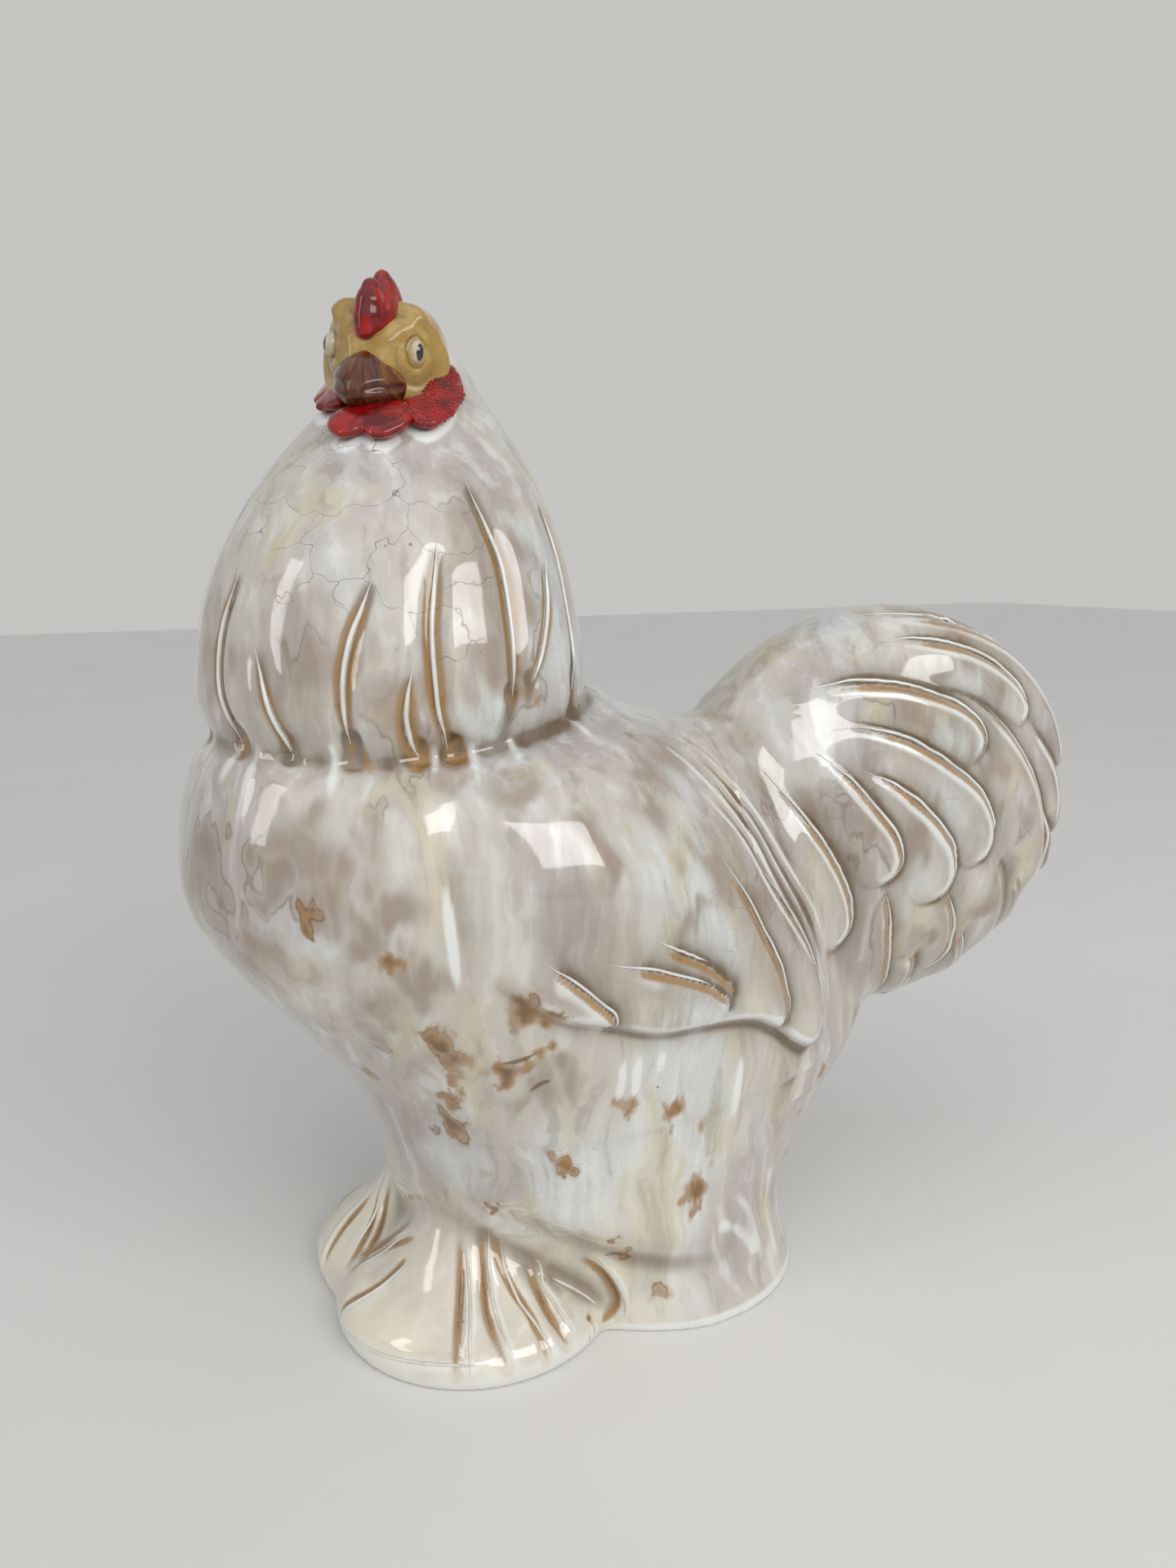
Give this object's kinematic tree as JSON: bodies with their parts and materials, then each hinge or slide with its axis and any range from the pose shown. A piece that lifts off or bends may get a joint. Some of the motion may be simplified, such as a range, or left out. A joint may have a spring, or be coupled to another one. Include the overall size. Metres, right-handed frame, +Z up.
{
  "type": "ceramic rooster figurine",
  "caption": "Free-standing glazed ceramic rooster ornament: hollow body, neck cape and tail with luted wings, feet, comb, beak and wattles.",
  "frame": {"origin": "centre of the flat foot face that the figure stands on, on the middle plane", "axes": "+Z up, the breast faces -Y and the tail +Y, +X is the bird's left side"},
  "size_m": [0.26, 0.544, 0.5182],
  "materials": {
    "pearl_glaze": "gloss glaze, pearly grey-white breaking to amber in the creases",
    "cream_glaze": "gloss glaze, cream breaking to amber between the toes",
    "face_glaze": "gloss glaze over tan stain",
    "red_glaze": "gloss glaze over red stain",
    "beak_glaze": "gloss glaze over brushed brown stain",
    "eye_glaze": "gloss glaze with a painted dark pupil"
  },
  "bodies": {
    "root": {"body_shell": "pearl_glaze", "cape_shell": "pearl_glaze", "tail_shell": "pearl_glaze", "wing_left": "pearl_glaze", "wing_right": "pearl_glaze", "foot_left": "cream_glaze", "foot_right": "cream_glaze", "head_shell": "face_glaze", "comb": "red_glaze", "beak": "beak_glaze", "chin_wattle": "red_glaze", "wattle_left": "red_glaze", "wattle_right": "red_glaze", "eye_left": "eye_glaze", "eye_right": "eye_glaze"}
  },
  "joints": []
}
